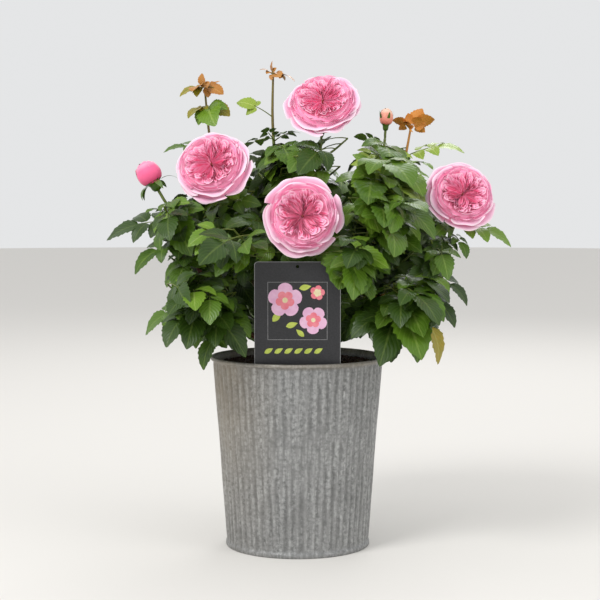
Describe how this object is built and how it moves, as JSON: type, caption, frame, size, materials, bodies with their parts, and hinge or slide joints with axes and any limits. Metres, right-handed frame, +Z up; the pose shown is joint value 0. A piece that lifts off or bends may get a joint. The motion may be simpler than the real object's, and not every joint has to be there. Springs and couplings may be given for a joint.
{
  "type": "potted rose bush",
  "caption": "Bushy rose in bloom with leafy canes, full pink blooms and buds, in a ribbed tapered metal pot with an upright plant label.",
  "frame": {"origin": "centre of the pot's flat underside, on the ground", "axes": "+Z up along the pot's axis; -Y towards the front, the side with the plant label; +X to the right seen from the front"},
  "size_m": [0.504, 0.3865, 0.611],
  "materials": {
    "zinc": "satin",
    "compost": "matte",
    "card": "satin",
    "bark": "satin",
    "leaf": "satin",
    "petal": "matte"
  },
  "bodies": {
    "root": {"pot": "zinc", "soil": "compost", "plant_label": "card", "stem_base": "bark", "cane_left": "bark", "cane_upper_left": "bark", "cane_centre": "bark", "cane_front": "bark", "cane_upper_right": "bark", "cane_right": "bark", "cane_back_left": "bark", "cane_back_right": "bark", "foliage_left": "leaf", "foliage_upper_left": "leaf", "foliage_centre": "leaf", "foliage_front": "leaf", "foliage_upper_right": "leaf", "foliage_right": "leaf", "foliage_back_left": "leaf", "foliage_back_right": "leaf", "bloom_left": "petal", "bloom_top": "petal", "bloom_centre": "petal", "bloom_right": "petal", "bud_left": "petal", "bud_right": "petal"}
  },
  "joints": []
}
